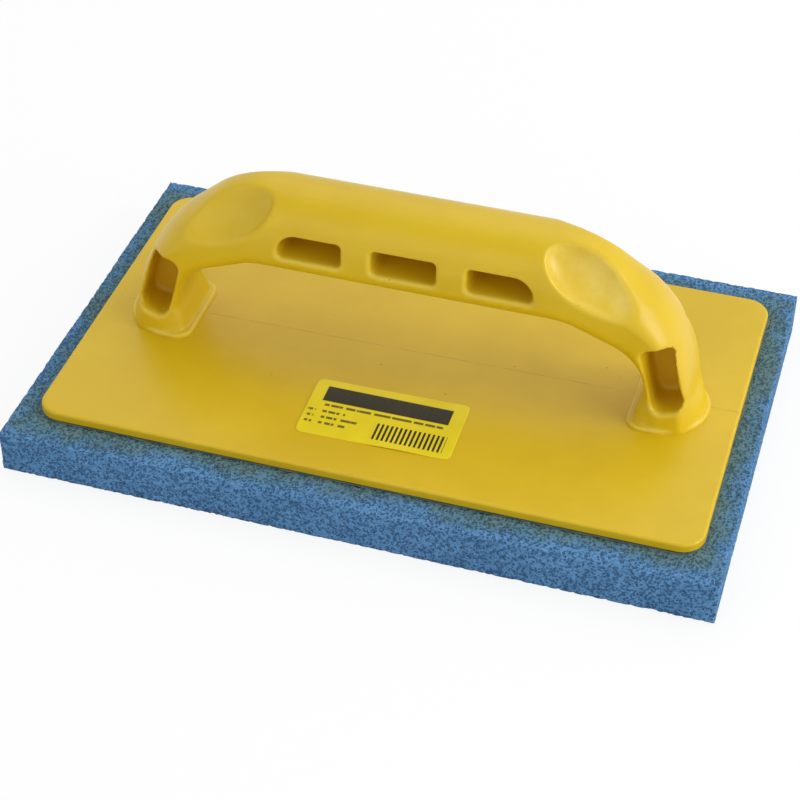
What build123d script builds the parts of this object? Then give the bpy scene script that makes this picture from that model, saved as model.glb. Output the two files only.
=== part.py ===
from build123d import *
import math
import os

# Plastering float with a foam rubber working pad. Millimetres, +Z up.
# The origin is the middle of the pad's working face, and +X runs along the handle.

# Foam rubber pad
pad_length = 210.0
pad_width = 135.0
pad_thickness = 13.5

# Contact adhesive between the pad and the backing plate
film_thickness = 0.25
film_squeeze_out = 1.5

# Backing plate, moulded in one with the handle
plate_length = 196.0
plate_width = 115.0
plate_thickness = 2.9
plate_corner_radius = 7.0
plate_edge_radius = 0.8

# Handle: a spine in the XZ plane that carries D-shaped sections
handle_height = 71.5        # crown of the grip above the working face
grip_thickness = 23.8       # underside of the grip to its crown
grip_width = 27.0
leg_thickness = 13.6
leg_width = 25.6
foot_reach = 79.6           # middle of the handle to the middle of a leg at the plate
leg_lean = 7.5              # degrees that a leg leans in from upright
shoulder_slope = 31.5       # degrees that the shoulders fall
shoulder_span = 31.1        # corner where a shoulder starts to the middle of a leg
shoulder_radius = 25.0
elbow_radius = 31.0         # less where a short leg leaves no room for it
bend_room = 0.9             # share of a leg's straight run that the elbow may take up
taper_share = 0.85          # share of a bend over which the grip slims down to a leg
bend_steps = 12             # short straight lengths that make up each bend
grip_crown_share = 0.42     # height of a section's widest line, as a share of its thickness
leg_crown_share = 0.68
inner_edge_radius = 4.5

# Feet
flange_height = 1.2
flange_side_margin = 1.9    # flange beyond the leg on each side
flange_inner_margin = 12.6  # middle of a leg to the straight side of its flange
flange_outer_margin = 9.8   # middle of a leg to the round end of its flange
flange_corner_radius = 5.0
boss_height = 5.0
boss_inset = 1.7
boss_draft = 24.0           # degrees

# Cored pockets, sunk from both sides to a web in the middle
web_thickness = 2.6
pocket_length_share = 0.4   # of the reach of the shoulders
pocket_height = 7.8
pocket_pitch_share = 0.583  # of the reach of the shoulders
pocket_drop = 2.5           # spine to the middle of a grip pocket
pocket_corner_radius = 1.6
pocket_end_radius = 6.0     # large upper corner at the outer end of the outer pockets
leg_pocket_share = 0.512    # length of a leg pocket, as a share of the leg's height
leg_pocket_width = 9.4
leg_pocket_inset = 0.9      # middle line of the leg in to the middle of its pocket
leg_pocket_corner_radius = 3.4
leg_pocket_rise_share = 0.4  # plate to the middle of a leg pocket, by the same measure

# Thumb dishes on both sides of both shoulders
dish_length = 38.0
dish_width = 18.0
dish_bulge = 6.0            # half thickness of the ellipsoid that sinks a dish
dish_floor = 8.8            # spine to the bottom of a dish
dish_facing = 34.0          # degrees that a dish faces up from level
dish_station = 0.557        # share of the spine from the middle of the grip to a dish

# Label on the plate, in front of the grip
label_length = 47.0
label_width = 25.5
label_thickness = 0.12
label_corner_radius = 2.0
label_offset = 31.3         # middle of the plate to the middle of the label

film_base = pad_thickness
plate_base = film_base + film_thickness
plate_top = plate_base + plate_thickness
spine_height = handle_height - grip_thickness / 2
shoulder_reach = foot_reach - shoulder_span
pocket_length = pocket_length_share * shoulder_reach
pocket_pitch = pocket_pitch_share * shoulder_reach
leg_pocket_length = leg_pocket_share * (spine_height - plate_top)
leg_pocket_rise = leg_pocket_rise_share * (spine_height - plate_top)
flange_radius = leg_width / 2 + flange_side_margin


def slab(length, width, height, base, corner):
    """Flat plate with rounded upright corners."""
    outline = fillet(Rectangle(length, width).vertices(), corner)
    return Pos(0, 0, base) * extrude(outline, height)


def on_both_sides(shape):
    """The shape and its mirror image on the other side of the handle."""
    return shape + mirror(shape, about=Plane.XZ)


def at_both_ends(shape):
    """The shape and its mirror image at the other end of the handle."""
    return shape + mirror(shape, about=Plane.YZ)


def spine_half():
    """Middle line of half the handle, from its centre down into the plate."""
    shoulder = math.tan(math.radians(shoulder_slope))
    lean = math.tan(math.radians(leg_lean))
    foot_height = plate_base + plate_thickness / 2
    span = foot_reach - shoulder_reach - lean * (spine_height - foot_height)
    elbow_drop = span * shoulder / (1 - lean * shoulder)
    elbow_reach = shoulder_reach + elbow_drop / shoulder
    leg_run = (spine_height - elbow_drop - foot_height) / math.cos(math.radians(leg_lean))
    half_turn = math.radians(90 - shoulder_slope - leg_lean) / 2
    elbow = min(elbow_radius, bend_room * leg_run / math.tan(half_turn))
    return FilletPolyline(
        (0, 0, spine_height),
        (shoulder_reach, 0, spine_height),
        (elbow_reach, 0, spine_height - elbow_drop),
        (foot_reach, 0, foot_height),
        radius=[shoulder_radius, elbow],
    )


def blend(start, end, share):
    """Smooth change from start to end while share goes from 0 to 1."""
    share = min(max(share, 0.0), 1.0)
    return start + (end - start) * share * share * (3 - 2 * share)


def d_section(share):
    """Flat inner side, straight flanks and elliptical crown, at that share of the way to the leg."""
    half = blend(grip_width, leg_width, share) / 2
    thickness = blend(grip_thickness, leg_thickness, share)
    crown_share = blend(grip_crown_share, leg_crown_share, share)
    inner = -thickness / 2
    widest = inner + crown_share * thickness
    edge = min(inner_edge_radius, 0.8 * (widest - inner))
    outline = [
        Line((-half + edge, inner), (half - edge, inner)),
        CenterArc((half - edge, inner + edge), edge, -90, 90),
        Line((half, inner + edge), (half, widest)),
        EllipticalCenterArc((0, widest), half, thickness / 2 - widest, 0, arc_size=180),
        Line((-half, widest), (-half, inner + edge)),
        CenterArc((-half + edge, inner + edge), edge, 180, 90),
    ]
    return make_face(outline)


def bow():
    """A straight grip, and at both ends a shoulder and leg lofted along the spine."""
    spine = spine_half()
    grip, *_, leg = spine.edges().sort_by(lambda edge: edge.center().X)
    grip_end = grip.length / spine.length
    bend = 1 - leg.length / spine.length - grip_end
    sections = []
    for station in [grip_end + bend * step / bend_steps for step in range(bend_steps + 1)] + [1.0]:
        share = (station - grip_end) / bend / taper_share
        place = Plane(origin=spine @ station, x_dir=(0, 1, 0), z_dir=spine % station)
        sections.append(place * d_section(share))
    return extrude(sections[0], -2 * grip.length) + at_both_ends(loft(sections, ruled=True))


def foot_outline(inset):
    """D-shaped outline of a foot: round at the outer end and straight at the inner side."""
    radius = flange_radius - inset
    corner = flange_corner_radius - inset
    inner = foot_reach - flange_inner_margin + inset
    middle = foot_reach + flange_outer_margin - flange_radius
    outline = [
        CenterArc((middle, 0), radius, -90, 180),
        Line((middle, radius), (inner + corner, radius)),
        CenterArc((inner + corner, radius - corner), corner, 90, 90),
        Line((inner, radius - corner), (inner, corner - radius)),
        CenterArc((inner + corner, corner - radius), corner, 180, 90),
        Line((inner + corner, -radius), (middle, -radius)),
    ]
    return make_face(outline)


def feet():
    """Flanges on the plate, each with a tapered boss that the leg stands in."""
    flange = extrude(Pos(0, 0, plate_top) * foot_outline(0), flange_height)
    boss_base = Pos(0, 0, plate_top + flange_height)
    boss = extrude(boss_base * foot_outline(boss_inset), boss_height, taper=boss_draft)
    return at_both_ends(flange + boss)


def sunk_from_both_sides(outline):
    """Cutting solids from the web out past both sides of the handle."""
    wall = Plane.XZ.offset(web_thickness / 2)
    return on_both_sides(extrude(wall * outline, grip_width / 2))


def grip_pockets():
    """Three pockets in the grip, the outer two with one large upper corner."""
    height = spine_height - pocket_drop
    middle = fillet(Rectangle(pocket_length, pocket_height).vertices(), pocket_corner_radius)
    end = Rectangle(pocket_length, pocket_height)
    outer_top = end.vertices().sort_by(lambda corner: corner.X + corner.Y)[-1]
    end = fillet(outer_top, pocket_end_radius)
    small = [corner for corner in end.vertices() if corner.X < 0 or corner.Y < -pocket_height / 3]
    end = fillet(small, pocket_corner_radius)
    middle_cut = sunk_from_both_sides(Pos(0, height) * middle)
    end_cut = sunk_from_both_sides(Pos(pocket_pitch, height) * end)
    return middle_cut + at_both_ends(end_cut)


def leg_pockets():
    """One long pocket in each leg, in line with the spine."""
    rise = plate_top + leg_pocket_rise
    reach = foot_reach - (rise - plate_base) * math.tan(math.radians(leg_lean)) - leg_pocket_inset
    outline = fillet(Rectangle(leg_pocket_width, leg_pocket_length).vertices(), leg_pocket_corner_radius)
    placed = Pos(reach, rise) * Rot(0, 0, 2 * leg_lean) * outline
    return at_both_ends(sunk_from_both_sides(placed))


def thumb_dishes():
    """Shallow elliptical hollows in the upper flanks of the shoulders."""
    spine = spine_half()
    middle = spine @ dish_station
    facing = math.radians(dish_facing)
    outward = Vector(0, -math.cos(facing), math.sin(facing))
    reach = dish_floor + dish_bulge
    ball = scale(Sphere(1), by=(dish_length / 2, dish_width / 2, dish_bulge))
    place = Plane(origin=middle + outward * reach, x_dir=spine % dish_station, z_dir=outward)
    return at_both_ends(on_both_sides(place * ball))


def body_moulding():
    """Backing plate, feet and handle in one moulding."""
    plate = slab(plate_length, plate_width, plate_thickness, plate_base, plate_corner_radius)
    top_edges = plate.faces().sort_by(Axis.Z)[-1].edges()
    plate = fillet(top_edges, plate_edge_radius)
    body = plate + feet() + bow()
    return body - grip_pockets() - leg_pockets() - thumb_dishes()


def foam_pad():
    """Foam rubber pad with square-cut edges."""
    return Pos(0, 0, pad_thickness / 2) * Box(pad_length, pad_width, pad_thickness)


def adhesive_film():
    """Set adhesive, squeezed out a little all round the plate."""
    length = plate_length + 2 * film_squeeze_out
    width = plate_width + 2 * film_squeeze_out
    return slab(length, width, film_thickness, film_base, plate_corner_radius + film_squeeze_out)


def label():
    """Printed self-adhesive label."""
    outline = slab(label_length, label_width, label_thickness, plate_top, label_corner_radius)
    return Pos(0, -label_offset, 0) * outline


os.makedirs("parts", exist_ok=True)
for piece in (foam_pad, adhesive_film, body_moulding, label):
    export_step(piece(), f"parts/{piece.__name__}.step")
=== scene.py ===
import math
import bpy
import numpy as np
from mathutils import Matrix, Vector


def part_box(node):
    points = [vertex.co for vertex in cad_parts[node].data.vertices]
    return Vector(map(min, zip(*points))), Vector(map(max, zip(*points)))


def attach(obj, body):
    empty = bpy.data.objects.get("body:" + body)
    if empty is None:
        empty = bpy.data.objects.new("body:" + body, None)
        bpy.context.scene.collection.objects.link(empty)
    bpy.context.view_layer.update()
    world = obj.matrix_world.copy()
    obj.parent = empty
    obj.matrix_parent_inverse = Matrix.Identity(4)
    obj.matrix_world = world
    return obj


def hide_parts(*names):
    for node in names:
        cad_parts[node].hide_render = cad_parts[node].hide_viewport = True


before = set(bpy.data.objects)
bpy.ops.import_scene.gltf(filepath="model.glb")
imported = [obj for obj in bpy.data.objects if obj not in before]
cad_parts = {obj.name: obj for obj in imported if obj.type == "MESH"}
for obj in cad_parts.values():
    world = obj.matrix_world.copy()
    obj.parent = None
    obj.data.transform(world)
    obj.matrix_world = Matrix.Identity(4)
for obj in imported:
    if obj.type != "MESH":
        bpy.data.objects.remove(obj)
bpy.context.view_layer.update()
mm = 0.001
bodyLow, bodyHigh = [np.array(corner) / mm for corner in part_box("body_moulding")]
padLow, padHigh = [np.array(corner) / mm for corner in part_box("foam_pad")]
filmLow, filmHigh = [np.array(corner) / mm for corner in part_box("adhesive_film")]
labelLow, labelHigh = [np.array(corner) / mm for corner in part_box("label")]
print("frame loaded")


# ---- shader helpers ----
class Wire:
    # one output of a node; sums and products of wires add Math nodes
    def __init__(self, finish, socket):
        self.finish = finish
        self.socket = socket

    def __add__(self, other):
        return self.finish.maths("ADD", self, other)

    def __sub__(self, other):
        return self.finish.maths("SUBTRACT", self, other)

    def __rsub__(self, other):
        return self.finish.maths("SUBTRACT", other, self)

    def __mul__(self, other):
        return self.finish.maths("MULTIPLY", self, other)

    def __truediv__(self, other):
        return self.finish.maths("DIVIDE", self, other)

    def __abs__(self):
        return self.finish.maths("ABSOLUTE", self)

    __radd__ = __add__
    __rmul__ = __mul__


class Finish:
    # one material and its nodes
    def __init__(self, name):
        self.material = bpy.data.materials.new(name)
        self.material.use_nodes = True
        self.nodes = self.material.node_tree.nodes
        self.links = self.material.node_tree.links
        self.shader = self.nodes["Principled BSDF"]
        self.place = self.node("ShaderNodeTexCoord", output="Object")
        axes = self.node("ShaderNodeSeparateXYZ", inputs={"Vector": self.place}).socket.node
        self.x, self.y, self.z = [Wire(self, socket) for socket in axes.outputs]

    def feed(self, socket, value):
        if isinstance(value, Wire):
            self.links.new(value.socket, socket)
        elif isinstance(value, (tuple, list)) and len(value) == 3 and socket.type == "RGBA":
            socket.default_value = (*value, 1)
        else:
            socket.default_value = value

    def node(self, kind, settings=None, inputs=None, output=0):
        made = self.nodes.new(kind)
        for key, value in (settings or {}).items():
            if key == "stops":
                ramp = made.color_ramp.elements
                while len(ramp) < len(value):
                    ramp.new(0.5)
                for stop, (position, colour) in zip(ramp, value):
                    stop.position = position
                    stop.color = (*colour, 1)
            else:
                setattr(made, key, value)
        for key, value in (inputs or {}).items():
            self.feed(made.inputs[key], value)
        return Wire(self, made.outputs[output])

    def maths(self, operation, *values, clamp=False):
        settings = {"operation": operation, "use_clamp": clamp}
        return self.node("ShaderNodeMath", settings, dict(enumerate(values)))

    def ease(self, value, low, high):
        # 0 below low, 1 above high, smooth between
        inputs = {"Value": value, "From Min": low, "From Max": high}
        return self.node("ShaderNodeMapRange", {"interpolation_type": "SMOOTHSTEP"}, inputs)

    def noise(self, size, detail=3.0, roughness=0.5, place=None):
        inputs = {"Vector": place or self.place, "Scale": 1 / (size * mm), "Detail": detail, "Roughness": roughness}
        return self.node("ShaderNodeTexNoise", inputs=inputs)

    def cells(self, size, feature="F1", output="Distance", place=None):
        inputs = {"Vector": place or self.place, "Scale": 1 / (size * mm)}
        return self.node("ShaderNodeTexVoronoi", {"feature": feature}, inputs, output)

    def mix(self, share, first, second, blend="MIX"):
        settings = {"data_type": "RGBA", "blend_type": blend}
        return self.node("ShaderNodeMix", settings, {0: share, 6: first, 7: second}, 2)

    def stretch(self, factors):
        settings = {"operation": "MULTIPLY"}
        return self.node("ShaderNodeVectorMath", settings, {0: self.place, 1: factors})

    def attribute(self, name):
        return self.node("ShaderNodeAttribute", {"attribute_name": name}, output="Fac")

    def bump(self, height, depth, strength=1.0, under=None):
        inputs = {"Height": height, "Distance": depth * mm, "Strength": strength}
        if under:
            inputs["Normal"] = under
        return self.node("ShaderNodeBump", inputs=inputs)

    def set(self, **values):
        for key, value in values.items():
            name = "".join(" " + letter if letter.isupper() else letter for letter in key)
            self.feed(self.shader.inputs[name.title()], value)
        return self.material


# ---- mesh helpers, all in millimetres until a piece is made ----
def makePiece(name, points, faces, finish, node, attributes=None):
    mesh = bpy.data.meshes.new(name)
    mesh.from_pydata((np.asarray(points) * mm).tolist(), [], faces)
    mesh.validate()
    for key, values in (attributes or {}).items():
        made = mesh.attributes.new(key, "FLOAT", "POINT")
        made.data.foreach_set("value", np.asarray(values, np.float32))
    mesh.shade_smooth()
    mesh.materials.append(finish)
    piece = bpy.data.objects.new(name, mesh)
    bpy.context.scene.collection.objects.link(piece)
    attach(piece, "root")
    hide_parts(node)
    print(name, len(mesh.vertices), "points")
    return piece


def roundedOutline(halfLength, halfWidth, corner, perCorner=12, edgeStep=1e9):
    # anticlockwise outline of a rectangle with rounded corners, and its outward directions
    points, outward = [], []
    for quarter, (sx, sy) in enumerate([(1, 1), (-1, 1), (-1, -1), (1, -1)]):
        centre = np.array([sx * (halfLength - corner), sy * (halfWidth - corner)])
        for step in range(perCorner + 1):
            angle = (quarter + step / perCorner) * math.pi / 2
            direction = np.array([math.cos(angle), math.sin(angle)])
            points.append(centre + corner * direction)
            outward.append(direction)
        nextCentre = np.array([[-1, 1], [-1, -1], [1, -1], [1, 1]][quarter]) * (halfLength - corner, halfWidth - corner)
        start, end = points[-1], nextCentre + corner * outward[-1]
        count = int(np.linalg.norm(end - start) // edgeStep)
        for step in range(1, count):
            points.append(start + (end - start) * step / count)
            outward.append(outward[-1])
    return np.array(points), np.array(outward)


def stackRings(rings):
    # closed solid through rings of equal length, capped at both ends
    count = len(rings[0])
    faces = [list(range(count))[::-1]]
    for level in range(len(rings) - 1):
        a, b = level * count, (level + 1) * count
        for i in range(count):
            j = (i + 1) % count
            faces.append([a + i, a + j, b + j, b + i])
    last = (len(rings) - 1) * count
    faces.append([last + i for i in range(count)])
    return np.concatenate(rings), faces


def ring(flat, height):
    return np.column_stack([flat, np.broadcast_to(height, len(flat))])


def softMin(a, b, width):
    overlap = np.maximum(width - np.abs(a - b), 0) / width
    return np.minimum(a, b) - overlap * overlap * width / 4


def softMax(a, b, width):
    return -softMin(-a, -b, width)


def blend(start, end, share):
    share = np.clip(share, 0, 1)
    return start + (end - start) * share * share * (3 - 2 * share)


def boxDistance(u, v, halfU, halfV, corner):
    # signed distance to a rectangle whose corners have that radius
    qu, qv = np.abs(u) - halfU + corner, np.abs(v) - halfV + corner
    outside = np.hypot(np.maximum(qu, 0), np.maximum(qv, 0))
    return outside + np.minimum(np.maximum(qu, qv), 0) - corner


def hashed(cell, salt):
    # repeatable random numbers from whole-number cells
    mixed = cell[..., 0] * 73856093 ^ cell[..., 1] * 19349663 ^ cell[..., 2] * 83492791 ^ salt * 2654435761
    mixed = (mixed ^ (mixed >> 13)) * 1274126177 & 0xFFFFFFFF
    return ((mixed ^ (mixed >> 16)) & 0xFFFFFF) / 0xFFFFFF


def poreDepth(points, size, salt):
    # 1 at the middle of a pore and 0 at its rim, pores scattered through space
    cell = np.floor(points / size).astype(np.int64)
    deepest = np.zeros(len(points))
    for shift in np.ndindex(3, 3, 3):
        near = cell + np.array(shift) - 1
        centre = (near + np.stack([hashed(near, salt + axis) for axis in range(3)], -1)) * size
        radius = size * (0.28 + 0.34 * hashed(near, salt + 5))
        away = np.linalg.norm(points - centre, axis=1) / radius
        deepest = np.maximum(deepest, 1 - np.minimum(away, 1) ** 2)
    return deepest


def wave(points, size, salt):
    # smooth value noise from 0 to 1
    place = points / size
    cell = np.floor(place).astype(np.int64)
    part = place - cell
    part = part * part * (3 - 2 * part)
    total = np.zeros(len(points))
    for corner in np.ndindex(2, 2, 2):
        weight = np.prod(np.where(np.array(corner), part, 1 - part), axis=1)
        total += weight * hashed(cell + np.array(corner), salt)
    return total


def surfaceNet(field, low, step):
    # quads round the zero level of a field of signed distances
    inside = field < 0
    cells = tuple(n - 1 for n in field.shape)
    corners = list(np.ndindex(2, 2, 2))
    cut = {c: tuple(slice(o, o + n) for o, n in zip(c, cells)) for c in corners}
    count = sum(inside[cut[c]].astype(np.int8) for c in corners)
    active = (count > 0) & (count < 8)
    index = np.full(cells, -1, np.int64)
    index[active] = np.arange(active.sum())
    base = np.argwhere(active)
    total, hits = np.zeros((len(base), 3)), np.zeros(len(base))
    for a in corners:
        for axis in range(3):
            if a[axis]:
                continue
            b = tuple(1 if i == axis else v for i, v in enumerate(a))
            fa, fb = field[cut[a]][active], field[cut[b]][active]
            crossing = (fa < 0) != (fb < 0)
            share = np.where(crossing, fa / np.where(crossing, fa - fb, 1), 0)
            spot = np.array(a, float) + share[:, None] * (np.array(b) - np.array(a))
            total += np.where(crossing[:, None], spot, 0)
            hits += crossing
    points = low + (base + total / hits[:, None]) * step
    faces = []
    for axis in range(3):
        first, second = (axis + 1) % 3, (axis + 2) % 3
        ahead = [slice(None)] * 3
        behind = [slice(None)] * 3
        ahead[axis], behind[axis] = slice(1, None), slice(None, -1)
        change = inside[tuple(behind)].astype(np.int8) - inside[tuple(ahead)].astype(np.int8)
        spots = np.argwhere(change != 0)
        spots = spots[(spots[:, first] > 0) & (spots[:, second] > 0)]
        side = change[tuple(spots.T)]
        around = []
        for df, ds in [(-1, -1), (0, -1), (0, 0), (-1, 0)]:
            cell = spots.copy()
            cell[:, first] += df
            cell[:, second] += ds
            around.append(index[tuple(cell.T)])
        quads = np.stack(around, 1)
        quads[side < 0] = quads[side < 0][:, ::-1]
        faces.append(quads)
    return points, np.concatenate(faces)


# ---- body moulding: plate, feet and handle ----
handle = {
    "gripThickness": 23.8, "gripWidth": 27.0, "legThickness": 13.6, "legWidth": 25.6,
    "footReach": 79.6, "legLean": 7.5, "shoulderSlope": 31.5, "shoulderReach": 48.5,
    "shoulderRadius": 25.0, "elbowRadius": 31.0, "taperShare": 0.85, "gripCrown": 0.42, "legCrown": 0.68,
    "innerEdge": 4.5, "voxel": 0.6,
}
plate = {"thickness": 2.9, "corner": 7.0, "edge": 0.8, "lowerEdge": 0.3}
foot = {
    "flangeHeight": 1.2, "sideMargin": 1.9, "innerMargin": 12.6, "outerMargin": 9.8,
    "corner": 5.0, "bossHeight": 5.0, "bossInset": 1.7, "bossDraft": 24.0, "sink": 0.7,
}
pocket = {
    "web": 2.6, "halfLength": 9.7, "halfHeight": 3.9, "pitch": 28.3, "drop": 2.5, "corner": 1.6,
    "endRadius": 6.0, "legHalfWidth": 4.7, "legHalfLength": 11.0, "legCorner": 3.4,
    "legRise": 17.2, "legInset": 0.9, "legTurn": 15.0, "lip": 1.3, "floorRadius": 1.6, "draft": 0.05,
}
dish = {
    "halfLength": 19.0, "halfWidth": 9.0, "bulge": 6.0, "floor": 8.8, "facing": 34.0,
    "station": 0.557, "rim": 1.3,
}
plateBase, crown = bodyLow[2], bodyHigh[2]
plateTop = plateBase + plate["thickness"]
spineHeight = crown - handle["gripThickness"] / 2


def spineOfHalf():
    # middle line of half the handle, a point every tenth of a millimetre
    slope = math.tan(math.radians(handle["shoulderSlope"]))
    lean = math.tan(math.radians(handle["legLean"]))
    footHeight = plateBase + plate["thickness"] / 2
    span = handle["footReach"] - handle["shoulderReach"] - lean * (spineHeight - footHeight)
    drop = span * slope / (1 - lean * slope)
    knots = np.array([
        [0, spineHeight], [handle["shoulderReach"], spineHeight],
        [handle["shoulderReach"] + drop / slope, spineHeight - drop], [handle["footReach"], footHeight],
    ])
    runs, marks, travelled = [knots[0]], [], 0.0
    for corner, radius in ((1, handle["shoulderRadius"]), (2, handle["elbowRadius"])):
        before = knots[corner] - knots[corner - 1]
        after = knots[corner + 1] - knots[corner]
        before, after = before / np.linalg.norm(before), after / np.linalg.norm(after)
        turn = math.acos(np.clip(before @ after, -1, 1))
        start = knots[corner] - before * radius * math.tan(turn / 2)
        centre = start + radius * np.array([before[1], -before[0]])
        for step in range(61):
            angle = turn * step / 60
            arm = start - centre
            c, s = math.cos(-angle), math.sin(-angle)
            runs.append(centre + np.array([c * arm[0] - s * arm[1], s * arm[0] + c * arm[1]]))
    runs.append(knots[3])
    runs = np.array(runs)
    gaps = np.linalg.norm(np.diff(runs, axis=0), axis=1)
    travelled = np.concatenate([[0], np.cumsum(gaps)])
    gripEnd, legStart = travelled[1], travelled[-2]
    below = knots[3] + (knots[3] - knots[2]) * 0.4
    length = travelled[-1]
    runs = np.vstack([runs, below])
    travelled = np.append(travelled, length + np.linalg.norm(below - knots[3]))
    even = np.arange(0, travelled[-1], 0.1)
    line = np.column_stack([np.interp(even, travelled, runs[:, axis]) for axis in range(2)])
    return line, even, gripEnd, legStart, length


spineLine, spineTravel, gripEnd, legStart, spineLength = spineOfHalf()
lookup = {"x": np.arange(-2, 96, 0.5), "z": np.arange(plateTop - 3, crown + 4, 0.5)}


def spineTables():
    # distance outward from the spine and travel along it, over the upright middle plane
    tangent = np.gradient(spineLine, axis=0)
    tangent /= np.linalg.norm(tangent, axis=1)[:, None]
    away = np.empty((len(lookup["x"]), len(lookup["z"])))
    travel = np.empty_like(away)
    for i, x in enumerate(lookup["x"]):
        offset = np.stack([np.full(len(lookup["z"]), x), lookup["z"]], 1)[:, None] - spineLine[None]
        nearest = np.argmin((offset ** 2).sum(-1), axis=1)
        chosen = offset[np.arange(len(nearest)), nearest]
        normal = np.column_stack([-tangent[nearest, 1], tangent[nearest, 0]])
        away[i] = (chosen * normal).sum(1)
        travel[i] = spineTravel[nearest] + (chosen * tangent[nearest]).sum(1)
    return away, travel


awayTable, travelTable = spineTables()


def fromTable(table, x, z):
    u = np.clip((x - lookup["x"][0]) / 0.5, 0, len(lookup["x"]) - 1.001)
    v = np.clip((z - lookup["z"][0]) / 0.5, 0, len(lookup["z"]) - 1.001)
    i, j = u.astype(int), v.astype(int)
    u, v = u - i, v - j
    lower = table[i, j] * (1 - u) + table[i + 1, j] * u
    upper = table[i, j + 1] * (1 - u) + table[i + 1, j + 1] * u
    return lower * (1 - v) + upper * v


def sectionDistance(y, away, width, thickness, crownShare):
    # flat inner side, straight flanks, elliptical crown
    widest = (crownShare - 0.5) * thickness
    rise = thickness / 2 - widest
    edge = np.minimum(handle["innerEdge"], 0.8 * (widest + thickness / 2))
    above = np.maximum(away - widest, 0)
    first = np.hypot(y / (width / 2), above / rise)
    second = np.hypot(y / (width / 2) ** 2, above / rise ** 2) + 1e-9
    crownPart = first * (first - 1) / second
    qy = y - width / 2 + edge
    qn = -(away + thickness / 2) + edge
    outside = np.hypot(np.maximum(qy, 0), np.maximum(qn, 0))
    lowerPart = outside + np.minimum(np.maximum(qy, qn), 0) - edge
    return np.where(away > widest, crownPart, lowerPart)


def footDistance(x, y):
    radius = handle["legWidth"] / 2 + foot["sideMargin"]
    middle = handle["footReach"] + foot["outerMargin"] - radius
    inner = handle["footReach"] - foot["innerMargin"] + foot["corner"]
    roundEnd = np.hypot(x - middle, y) - radius
    qx, qy = inner - x, y - radius + foot["corner"]
    square = np.hypot(np.maximum(qx, 0), np.maximum(qy, 0)) + np.minimum(np.maximum(qx, qy), 0) - foot["corner"]
    return np.where(x > middle, roundEnd, square)


def pocketDistance(x, y, z):
    # negative inside the cored pockets
    depth = handle["gripWidth"] / 2 - y
    v = z - (spineHeight - pocket["drop"])
    u = x - pocket["pitch"]
    endOne = boxDistance(u, v, pocket["halfLength"], pocket["halfHeight"], pocket["corner"])
    # the outer upper corner is one large arc
    arcU = np.maximum(u - pocket["halfLength"] + pocket["endRadius"], 0)
    arcV = np.maximum(v - pocket["halfHeight"] + pocket["endRadius"], 0)
    endOne = np.maximum(endOne, np.hypot(arcU, arcV) - pocket["endRadius"])
    middle = boxDistance(x, v, pocket["halfLength"], pocket["halfHeight"], pocket["corner"])
    turn = math.radians(pocket["legTurn"])
    rise = plateTop + pocket["legRise"]
    reach = handle["footReach"] - (rise - plateBase) * math.tan(math.radians(handle["legLean"])) - pocket["legInset"]
    du, dv = x - reach, z - rise
    legU = du * math.cos(turn) + dv * math.sin(turn)
    legV = -du * math.sin(turn) + dv * math.cos(turn)
    leg = boxDistance(legU, legV, pocket["legHalfWidth"], pocket["legHalfLength"], pocket["legCorner"])
    outline = np.minimum(np.minimum(middle, endOne), leg) + pocket["draft"] * depth
    return softMax(outline, pocket["web"] / 2 - y, pocket["floorRadius"])


def dishDistance(x, y, z):
    travel = dish["station"] * spineLength
    here = int(travel / 0.1)
    middle = spineLine[here]
    tangent = spineLine[here + 1] - spineLine[here - 1]
    facing = math.radians(dish["facing"])
    outward = np.array([0, math.cos(facing), math.sin(facing)])
    along = np.array([tangent[0], 0, tangent[1]])
    along -= (along @ outward) * outward
    along /= np.linalg.norm(along)
    across = np.cross(outward, along)
    centre = np.array([middle[0], 0, middle[1]]) + outward * (dish["floor"] + dish["bulge"])
    local = np.stack([x, y, z], -1) - centre
    sizes = np.array([dish["halfLength"], dish["halfWidth"], dish["bulge"]])
    scaled = np.stack([local @ along, local @ across, local @ outward], -1) / sizes
    first = np.linalg.norm(scaled, axis=-1)
    second = np.linalg.norm(scaled / sizes, axis=-1) + 1e-9
    return first * (first - 1) / second


def bodyField(points):
    x, y, z = np.abs(points[..., 0]), np.abs(points[..., 1]), points[..., 2]
    away, travel = fromTable(awayTable, x, z), fromTable(travelTable, x, z)
    share = (travel - gripEnd) / (legStart - gripEnd) / handle["taperShare"]
    width = blend(handle["gripWidth"], handle["legWidth"], share)
    thickness = blend(handle["gripThickness"], handle["legThickness"], share)
    crownShare = blend(handle["gripCrown"], handle["legCrown"], share)
    bow = sectionDistance(y, away, width, thickness, crownShare)
    outline = footDistance(x, y)
    flangeTop = plateTop + foot["flangeHeight"]
    taper = math.tan(math.radians(foot["bossDraft"]))
    boss = outline + foot["bossInset"] + np.maximum(z - flangeTop, 0) * taper
    boss = softMax(boss, z - flangeTop - foot["bossHeight"], 2.0)
    flange = softMax(outline, z - flangeTop, 0.9)
    solid = softMin(softMin(bow, boss, 4.5), flange, 0.5)
    solid = softMax(solid, -pocketDistance(x, y, z), pocket["lip"])
    solid = softMax(solid, -dishDistance(x, y, z), dish["rim"])
    return np.maximum(solid, plateTop - foot["sink"] - z)


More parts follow.
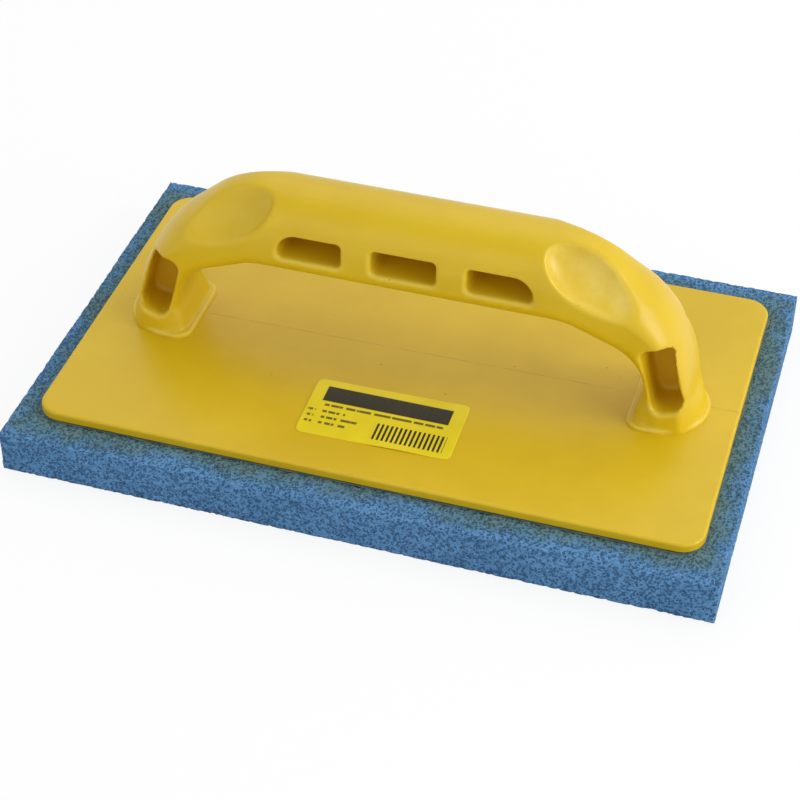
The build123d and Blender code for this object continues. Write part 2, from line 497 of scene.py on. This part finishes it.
def handleMesh():
    step = handle["voxel"]
    low = np.array([0.5 * step - 154 * step, 0.5 * step - 26 * step, plateTop - foot["sink"] - 1.3])
    xs = low[0] + step * np.arange(308)
    ys = low[1] + step * np.arange(52)
    zs = np.arange(low[2], crown + 1.5, step)
    half = len(xs) // 2
    quarter = np.stack(np.meshgrid(xs[half:], ys[26:], zs, indexing="ij"), -1)
    values = bodyField(quarter)
    values = np.concatenate([values[::-1], values], 0)
    values = np.concatenate([values[:, ::-1], values], 1)
    points, faces = surfaceNet(values, low, step)
    for _ in range(3):
        # each point slides onto the true surface
        value = bodyField(points)
        slope = np.stack([
            bodyField(points + shift) - bodyField(points - shift) for shift in np.eye(3) * 0.02
        ], -1) / 0.04
        points -= np.clip(value, -0.4, 0.4)[:, None] * slope / np.maximum((slope ** 2).sum(-1), 0.3)[:, None]
    return points, faces


def plateMesh():
    rings = []
    flat, outward = roundedOutline(bodyHigh[0], bodyHigh[1], plate["corner"], 16)
    levels = [(plate["lowerEdge"], plateBase), (0.0, plateBase + plate["lowerEdge"])]
    for step in range(7):
        angle = step / 6 * math.pi / 2
        inset = plate["edge"] * (1 - math.cos(angle))
        levels.append((inset, plateTop - plate["edge"] * (1 - math.sin(angle))))
    levels.append((plate["edge"] + 0.5, plateTop))
    for inset, height in levels:
        rings.append(ring(flat - outward * inset, height))
    return stackRings(rings)


def yellowPlastic():
    f = Finish("yellow_plastic")
    cored = f.attribute("cored")
    lipHighlight = f.attribute("lip")
    rubbed = f.attribute("rubbed")
    cloudy = f.noise(28, 4, 0.55)
    fine = f.noise(1.6, 3, 0.6)
    colour = f.mix(f.ease(cloudy, 0.35, 0.68), (0.600, 0.400, 0.004), (0.645, 0.440, 0.007))
    colour = f.mix(fine * 0.10, colour, (0.50, 0.33, 0.004))
    # painted shade: warm brown inside the pockets, where the light is lost
    colour = f.mix(cored * 0.85, colour, (0.60, 0.345, 0.002))
    # painted highlight: paler pocket lips and flange rim
    colour = f.mix(lipHighlight * 0.45, colour, (0.76, 0.60, 0.09))
    # painted sheen: paler dishes, far stronger on the right-hand dish that faces the light
    colour = f.mix(rubbed * (0.25 + f.ease(f.noise(7, 3), 0.35, 0.7) * 0.45), colour, (0.78, 0.60, 0.14))
    # dirt specks: few cells, tiny
    speck = f.ease(f.cells(5.5), 0.055, 0.030)
    rare = f.ease(f.noise(9, 1), 0.56, 0.60)
    colour = f.mix(speck * rare * 0.7, colour, (0.10, 0.06, 0.01))
    # witness line along the middle of the plate
    onPlate = f.ease(f.z, (plateTop + 0.4) * mm, (plateTop + 0.1) * mm)
    line = f.ease(abs(f.y - 0.0012 - f.x * 0.012), 0.00035, 0.00012) * onPlate
    broken = f.ease(f.noise(7, 2), 0.38, 0.55)
    colour = f.mix(line * broken * 0.35, colour, (0.33, 0.20, 0.01))
    scuffs = f.noise(2.2, 5, 0.65, f.stretch((0.25, 1.6, 1.0)))
    roughness = 0.27 + scuffs * 0.12 + cored * 0.15 + fine * 0.05
    soft = f.bump(cloudy, 0.25, 0.35)
    skin = f.bump(fine, 0.02, 0.5, soft)
    scratched = f.bump(f.ease(scuffs, 0.45, 0.75) - line * 2.0, 0.02, 0.5, skin)
    f.feed(f.shader.inputs["Base Color"], colour)
    f.feed(f.shader.inputs["Roughness"], roughness)
    f.feed(f.shader.inputs["Normal"], scratched)
    f.shader.inputs["IOR"].default_value = 1.49
    f.shader.inputs["Specular IOR Level"].default_value = 0.42
    return f.material


def makeBody():
    finish = yellowPlastic()
    points, faces = handleMesh()
    x, y, z = np.abs(points[:, 0]), np.abs(points[:, 1]), points[:, 2]
    hollow = pocketDistance(x, y, z)
    depth = np.clip((handle["gripWidth"] / 2 - y) / 8, 0, 1)
    # painted shade mask for the pocket walls, stronger deeper in
    cored = np.clip(1 - np.abs(hollow) / 1.2, 0, 1) * depth
    # painted highlight mask on the pocket lips and the flange rim
    lip = np.clip(1 - np.abs(hollow) / 1.5, 0, 1) * np.clip(1 - (depth * 3), 0, 1)
    flangeRim = np.exp(-((footDistance(x, y) + 0.35) / 0.45) ** 2) * (z < plateTop + foot["flangeHeight"] + 0.3)
    lip = np.maximum(lip, flangeRim)
    # painted sheen mask in the dishes, strong on the right-hand dish that faces the light
    rubbed = np.clip(1 - np.abs(dishDistance(x, y, z)) / 0.8, 0, 1) * np.where(points[:, 0] > 0, 0.8, 0.15)
    upper = makePiece("handle_part", points, faces.tolist(), finish, "body_moulding", {"cored": cored, "lip": lip, "rubbed": rubbed})
    flatPoints, flatFaces = plateMesh()
    blank = np.zeros(len(flatPoints))
    body = makePiece("body_moulded", flatPoints, flatFaces, finish, "body_moulding", {"cored": blank, "lip": blank, "rubbed": blank})
    join = body.modifiers.new("join", "BOOLEAN")
    join.operation, join.object, join.solver = "UNION", upper, "MANIFOLD"
    evaluated = body.evaluated_get(bpy.context.evaluated_depsgraph_get())
    whole = bpy.data.meshes.new_from_object(evaluated)
    print("joined body", len(whole.vertices), "points")
    body.modifiers.clear()
    body.data = whole
    bpy.data.objects.remove(upper)
    whole.shade_smooth()
    whole.set_sharp_from_angle(angle=math.radians(38))
    return body


# ---- foam pad ----
foam = {
    "step": 0.7, "cover": 2.5, "poreSize": 1.45, "poreDepth": 0.5, "edgeWear": 0.20,
    "bigPore": 3.4, "bigDepth": 0.25,
}


def padMesh():
    # box skin with a fine grid, and one plain face under the plate
    size = padHigh - padLow
    counts = np.round(size / foam["step"]).astype(int)
    index, points, faces = {}, [], []

    def corner(i, j, k):
        key = (i, j, k)
        if key not in index:
            index[key] = len(points)
            points.append(padLow + size * np.array(key) / counts)
        return index[key]

    nx, ny, nz = counts
    hidden = bodyHigh[:2] - foam["cover"]
    rimX = int((padHigh[0] - hidden[0]) / foam["step"])
    rimY = int((padHigh[1] - hidden[1]) / foam["step"])
    for i in range(nx):
        for j in range(ny):
            faces.append([corner(i, j, 0), corner(i, j + 1, 0), corner(i + 1, j + 1, 0), corner(i + 1, j, 0)])
            if not (rimX <= i < nx - rimX and rimY <= j < ny - rimY):
                faces.append([corner(i, j, nz), corner(i + 1, j, nz), corner(i + 1, j + 1, nz), corner(i, j + 1, nz)])
    for k in range(nz):
        for i in range(nx):
            faces.append([corner(i, 0, k), corner(i + 1, 0, k), corner(i + 1, 0, k + 1), corner(i, 0, k + 1)])
            faces.append([corner(i, ny, k), corner(i, ny, k + 1), corner(i + 1, ny, k + 1), corner(i + 1, ny, k)])
        for j in range(ny):
            faces.append([corner(0, j, k), corner(0, j, k + 1), corner(0, j + 1, k + 1), corner(0, j + 1, k)])
            faces.append([corner(nx, j, k), corner(nx, j + 1, k), corner(nx, j + 1, k + 1), corner(nx, j, k + 1)])
    loop = [corner(i, rimY, nz) for i in range(rimX, nx - rimX)]
    loop += [corner(nx - rimX, j, nz) for j in range(rimY, ny - rimY)]
    loop += [corner(i, ny - rimY, nz) for i in range(nx - rimX, rimX, -1)]
    loop += [corner(rimX, j, nz) for j in range(ny - rimY, rimY, -1)]
    faces.append(loop)
    return np.array(points), faces


def padPores():
    points, faces = padMesh()
    flat = points.copy()
    reach = 0.5 * foam["step"]
    inward = np.zeros_like(points)
    for axis in range(3):
        inward[:, axis] += flat[:, axis] < padLow[axis] + reach
        inward[:, axis] -= flat[:, axis] > padHigh[axis] - reach
    sides = np.abs(inward).sum(1)
    pores = poreDepth(flat, foam["poreSize"], 3)
    wide = poreDepth(flat, foam["bigPore"], 17) * (wave(flat, 3.0, 5) > 0.45)
    uneven = wave(flat, 9.0, 29)
    depth = foam["poreDepth"] * pores ** 0.7 + foam["bigDepth"] * np.clip(wide * 2 - 1, 0, 1) + 0.10 * uneven
    depth = np.where(sides > 1, depth * 0.5, depth)
    depth += np.where(sides > 1, foam["edgeWear"] * wave(flat, 2.2, 41) ** 2 + 0.08, 0)
    # the cut face stays level where the plate is glued on
    glued = (np.abs(flat[:, 0]) < bodyHigh[0] - 1) & (np.abs(flat[:, 1]) < bodyHigh[1] - 1) & (flat[:, 2] > padHigh[2] - reach)
    depth[glued] = 0
    near = (flat[:, 2] < padLow[2] + reach) & (sides == 1)
    depth[near] *= 0.7
    moved = flat + inward / np.sqrt(np.maximum(sides, 1))[:, None] * depth[:, None]
    jitter = np.stack([wave(flat, 1.3, 61 + axis) - 0.5 for axis in range(3)], -1) * 0.22
    jitter[sides != 1] = 0
    jitter *= 1 - np.abs(inward)
    jitter[glued] = 0
    moved += jitter
    return moved, faces, np.clip(pores, 0, 1)


def foamRubber():
    f = Finish("foam_rubber")
    pore = f.attribute("pore")
    small = f.cells(0.95)
    tiny = f.cells(0.55)
    warp = f.noise(14, 3)
    grain = f.noise(0.6, 3, 0.7)
    holes = f.maths("MAXIMUM", f.ease(small, 0.50, 0.24), f.ease(tiny, 0.40, 0.20) * 0.6)
    colour = f.mix(f.ease(warp, 0.35, 0.65), (0.060, 0.175, 0.350), (0.085, 0.225, 0.430))
    colour = f.mix(grain * 0.55, colour, (0.150, 0.330, 0.580))
    # dried glue tints the cut face round the plate
    outX = abs(f.x) - bodyHigh[0] * mm
    outY = abs(f.y) - bodyHigh[1] * mm
    away = f.maths("MAXIMUM", outX, outY)
    ragged = away + (f.noise(6, 3, 0.6) - 0.5) * 0.009 + (f.noise(22, 2) - 0.5) * 0.012
    onTop = f.ease(f.z, (padHigh[2] - 1.6) * mm, (padHigh[2] - 0.3) * mm)
    glue = f.ease(ragged, 0.0085, 0.0025) * onTop
    stain = f.ease(ragged, 0.0045, 0.0) * onTop
    colour = f.mix(f.ease(ragged, 0.004, 0.010) * onTop * 0.6, colour, (0.110, 0.270, 0.510))
    colour = f.mix(glue * 0.75, colour, (0.090, 0.190, 0.225))
    colour = f.mix(stain * 0.45, colour, (0.120, 0.175, 0.120))
    # painted shade: pores and small holes darkened, deeper pores darker, grey-green where glue fills them
    poreShade = f.mix(glue, (0.012, 0.050, 0.125), (0.020, 0.055, 0.070))
    colour = f.mix(f.maths("MAXIMUM", holes * 0.66, f.ease(pore, 0.20, 0.95) * 0.60), colour, poreShade)
    height = 1 - holes
    fine = f.bump(grain, 0.10, 0.6)
    f.feed(f.shader.inputs["Base Color"], colour)
    f.feed(f.shader.inputs["Roughness"], 0.92 - glue * 0.25)
    f.feed(f.shader.inputs["Normal"], f.bump(height, 0.35, 1.0, fine))
    f.shader.inputs["IOR"].default_value = 1.40
    f.shader.inputs["Specular IOR Level"].default_value = 0.3
    return f.material


def makePad():
    points, faces, pores = padPores()
    pad = makePiece("foam_cut_pad", points, faces, foamRubber(), "foam_pad", {"pore": pores})
    return pad


# ---- adhesive film ----
glueLine = {"least": 0.05, "most": 1.0, "patch": 5.0, "corner": 7.0}


def glueAndGapShade():
    f = Finish("glue_and_gap_shade")
    patches = f.noise(5, 4, 0.6)
    # dark green-grey set glue, kept darker than the glue stain on the foam: partly real glue, partly painted shade for
    # the gap under the plate edge
    colour = f.mix(f.ease(patches, 0.35, 0.65), (0.045, 0.080, 0.070), (0.090, 0.120, 0.075))
    f.feed(f.shader.inputs["Base Color"], colour)
    f.feed(f.shader.inputs["Roughness"], 0.35 + patches * 0.25)
    f.feed(f.shader.inputs["Normal"], f.bump(patches, 0.2, 0.5))
    return f.material


def makeFilm():
    flat, outward = roundedOutline(bodyHigh[0], bodyHigh[1], glueLine["corner"], 14, 0.9)
    spots = np.column_stack([flat, np.zeros(len(flat))])
    lobes = 0.65 * wave(spots, glueLine["patch"], 7) + 0.35 * wave(spots, 1.8, 13)
    reach = glueLine["least"] + (glueLine["most"] - glueLine["least"]) * np.clip(lobes * 1.6 - 0.45, 0, 1)
    limit = filmHigh[0] - bodyHigh[0]
    reach = np.minimum(reach, limit)
    base, top = filmLow[2], filmHigh[2]
    out = lambda share: flat + outward * (reach * share)[:, None]
    rings = [
        ring(flat - outward * 4.0, base), ring(out(0.9), base + 0.01), ring(out(1.0), base + 0.06),
        ring(out(0.85), base + 0.14), ring(out(0.45), base + 0.21), ring(flat - outward * 0.5, top - 0.01),
        ring(flat - outward * 4.0, top - 0.01),
    ]
    points, faces = stackRings(rings)
    return makePiece("adhesive_line", points, faces, glueAndGapShade(), "adhesive_film")


# ---- label ----
sticker = {"corner": 2.0, "lift": 0.32, "curl": 0.18, "turn": 1.0}


def printedFilm():
    f = Finish("label_film")
    low, high = labelLow * mm, labelHigh * mm
    u = (f.x - low[0]) / (high[0] - low[0])
    v = (f.y - low[1]) / (high[1] - low[1])

    def bar(left, right, bottom, top):
        inU = f.ease(u, left - 0.002, left + 0.002) * f.ease(u, right + 0.002, right - 0.002)
        return inU * f.ease(v, bottom - 0.006, bottom + 0.006) * f.ease(v, top + 0.006, top - 0.006)

    paper = f.mix(f.ease(f.noise(12, 3), 0.3, 0.7), (0.72, 0.57, 0.006), (0.78, 0.63, 0.012))
    ink = bar(0.09, 0.90, 0.60, 0.86)
    for left, right, bottom, top in (
        (0.10, 0.88, 0.515, 0.555), (0.03, 0.27, 0.40, 0.44), (0.03, 0.36, 0.30, 0.34), (0.03, 0.30, 0.20, 0.24),
    ):
        dashes = f.ease(f.noise(1.1, 1, 0.5, f.stretch((1.0, 0.05, 0.05))), 0.40, 0.46)
        ink = f.maths("MAXIMUM", ink, bar(left, right, bottom, top) * dashes * 0.85)
    stripes = f.maths("FRACT", u * 34.0)
    stripes = f.ease(stripes, 0.45, 0.55)
    ink = f.maths("MAXIMUM", ink, bar(0.47, 0.93, 0.12, 0.40) * stripes)
    worn = f.ease(f.noise(0.7, 3, 0.7), 0.25, 0.40)
    colour = f.mix(ink * (0.82 + worn * 0.16), paper, (0.012, 0.012, 0.010))
    f.feed(f.shader.inputs["Base Color"], colour)
    f.feed(f.shader.inputs["Roughness"], 0.30 + f.noise(3, 3) * 0.15)
    f.feed(f.shader.inputs["Normal"], f.bump(f.noise(6, 2), 0.10, 0.5))
    f.shader.inputs["Specular IOR Level"].default_value = 0.35
    return f.material


def makeLabel():
    half = (labelHigh - labelLow) / 2
    middle = (labelHigh + labelLow) / 2
    flat, outward = roundedOutline(half[0] - 0.4, half[1] - 0.4, sticker["corner"], 10, 0.7)
    thickness = labelHigh[2] - labelLow[2]
    turn = math.radians(sticker["turn"])
    rotate = np.array([[math.cos(turn), math.sin(turn)], [-math.sin(turn), math.cos(turn)]])

    def lifted(spots):
        # the front edge stands off the plate a little past its middle
        front = np.clip(-spots[:, 1] / half[1], 0, 1) ** 6
        ripple = 0.5 + 0.5 * np.cos((spots[:, 0] - 7.0) / 5.2)
        ends = np.clip(np.abs(spots[:, 0]) / half[0], 0, 1) ** 8
        return sticker["lift"] * front * ripple * np.exp(-((spots[:, 0] - 7) / 15) ** 2) + sticker["curl"] * ends * 0.4

    rings = [ring(flat * 0.6, labelLow[2] + 0.005)]
    for share in (1.0,):
        rings.append(ring(flat * share, labelLow[2] + 0.01 + lifted(flat)))
    rings.append(ring(flat, labelLow[2] + thickness * 0.9 + lifted(flat)))
    for share in (0.985, 0.96, 0.92, 0.86, 0.78, 0.66, 0.5, 0.3, 0.1):
        rings.append(ring(flat * share, labelLow[2] + thickness + lifted(flat * share)))
    points, faces = stackRings(rings)
    points[:, :2] = points[:, :2] @ rotate + middle[:2]
    return makePiece("label_sticker", points, faces, printedFilm(), "label")


body = makeBody()
pad = makePad()
film = makeFilm()
label = makeLabel()
print("pieces made")


# ---- floor, light and camera ----
room = {"floor": 6.0, "white": 0.80, "shade": 0.93}


def makeFloor():
    mesh = bpy.data.meshes.new("floor")
    s = room["floor"]
    mesh.from_pydata([(-s, -s, -0.0002), (s, -s, -0.0002), (s, s, -0.0002), (-s, s, -0.0002)], [], [(0, 1, 2, 3)])
    floor = bpy.data.objects.new("floor", mesh)
    bpy.context.scene.collection.objects.link(floor)
    f = Finish("floor")
    f.shader.inputs["Base Color"].default_value = (0.86, 0.86, 0.86, 1)
    f.shader.inputs["Roughness"].default_value = 0.9
    seen = f.node("ShaderNodeLightPath", output="Is Camera Ray")
    glow = f.node("ShaderNodeEmission", inputs={"Color": (1, 1, 1), "Strength": 1.0})
    both = f.node("ShaderNodeMixShader", inputs={0: seen * 0.86, 1: Wire(f, f.shader.outputs[0]), 2: glow})
    f.links.new(both.socket, f.nodes["Material Output"].inputs["Surface"])
    mesh.materials.append(f.material)


def makeWorld():
    world = bpy.data.worlds.new("studio")
    bpy.context.scene.world = world
    world.use_nodes = True
    nodes, links = world.node_tree.nodes, world.node_tree.links
    rays = nodes.new("ShaderNodeLightPath")
    sky = nodes["Background"]
    direction = nodes.new("ShaderNodeTexCoord")
    axes = nodes.new("ShaderNodeSeparateXYZ")
    climb = nodes.new("ShaderNodeMapRange")
    climb.interpolation_type = "SMOOTHSTEP"
    for name, value in {"From Min": 0.45, "From Max": 0.9, "To Min": 0.85, "To Max": 0.50}.items():
        climb.inputs[name].default_value = value
    links.new(direction.outputs["Generated"], axes.inputs[0])
    links.new(axes.outputs["Z"], climb.inputs["Value"])
    links.new(climb.outputs[0], sky.inputs["Strength"])
    sky.inputs["Color"].default_value = (1.0, 1.0, 1.0, 1)
    backdrop = nodes.new("ShaderNodeBackground")
    backdrop.inputs["Color"].default_value = (1, 1, 1, 1)
    backdrop.inputs["Strength"].default_value = 1.0
    chosen = nodes.new("ShaderNodeMixShader")
    links.new(rays.outputs["Is Camera Ray"], chosen.inputs[0])
    links.new(sky.outputs[0], chosen.inputs[1])
    links.new(backdrop.outputs[0], chosen.inputs[2])
    links.new(chosen.outputs[0], nodes["World Output"].inputs["Surface"])


def makeLamp(name, place, aim, size, power, tint=(1, 1, 1)):
    lamp = bpy.data.lights.new(name, "AREA")
    lamp.shape, lamp.size, lamp.size_y = "RECTANGLE", size[0], size[1]
    lamp.energy, lamp.color = power, tint
    stand = bpy.data.objects.new(name, lamp)
    stand.location = place
    stand.rotation_euler = (Vector(aim) - Vector(place)).to_track_quat("-Z", "Y").to_euler()
    bpy.context.scene.collection.objects.link(stand)


makeFloor()
makeWorld()
makeLamp("top", (0.10, 0.55, 1.25), (0, 0.0, 0.03), (1.8, 1.3), 6.8)
makeLamp("right", (1.00, -0.12, 0.45), (0, 0, 0.02), (0.7, 0.6), 6.5)
makeLamp("front", (-0.35, -0.95, 0.60), (0, 0, 0.02), (0.9, 0.5), 1.0)
print("studio made")

camera = {
    "azimuth": 17.48, "elevation": 39.48, "distance": 0.64664, "aim": (-0.01125, -0.00802, 0.0100),
    "lens": 97.07, "sensor": 36.0, "shiftX": 0.0375, "shiftY": -0.025,
}


def makeCamera():
    azimuth, elevation = math.radians(camera["azimuth"]), math.radians(camera["elevation"])
    back = Vector((
        math.sin(azimuth) * math.cos(elevation), -math.cos(azimuth) * math.cos(elevation), math.sin(elevation),
    ))
    data = bpy.data.cameras.new("camera")
    data.lens, data.sensor_width = camera["lens"], camera["sensor"]
    data.shift_x, data.shift_y = camera["shiftX"], camera["shiftY"]
    data.clip_start, data.clip_end = 0.01, 50
    stand = bpy.data.objects.new("camera", data)
    stand.location = Vector(camera["aim"]) + back * camera["distance"]
    stand.rotation_mode = "QUATERNION"
    stand.rotation_quaternion = (-back).to_track_quat("-Z", "Y")
    bpy.context.scene.collection.objects.link(stand)
    bpy.context.scene.camera = stand


makeCamera()
bpy.context.scene.view_settings.view_transform = "Standard"
print("camera set")
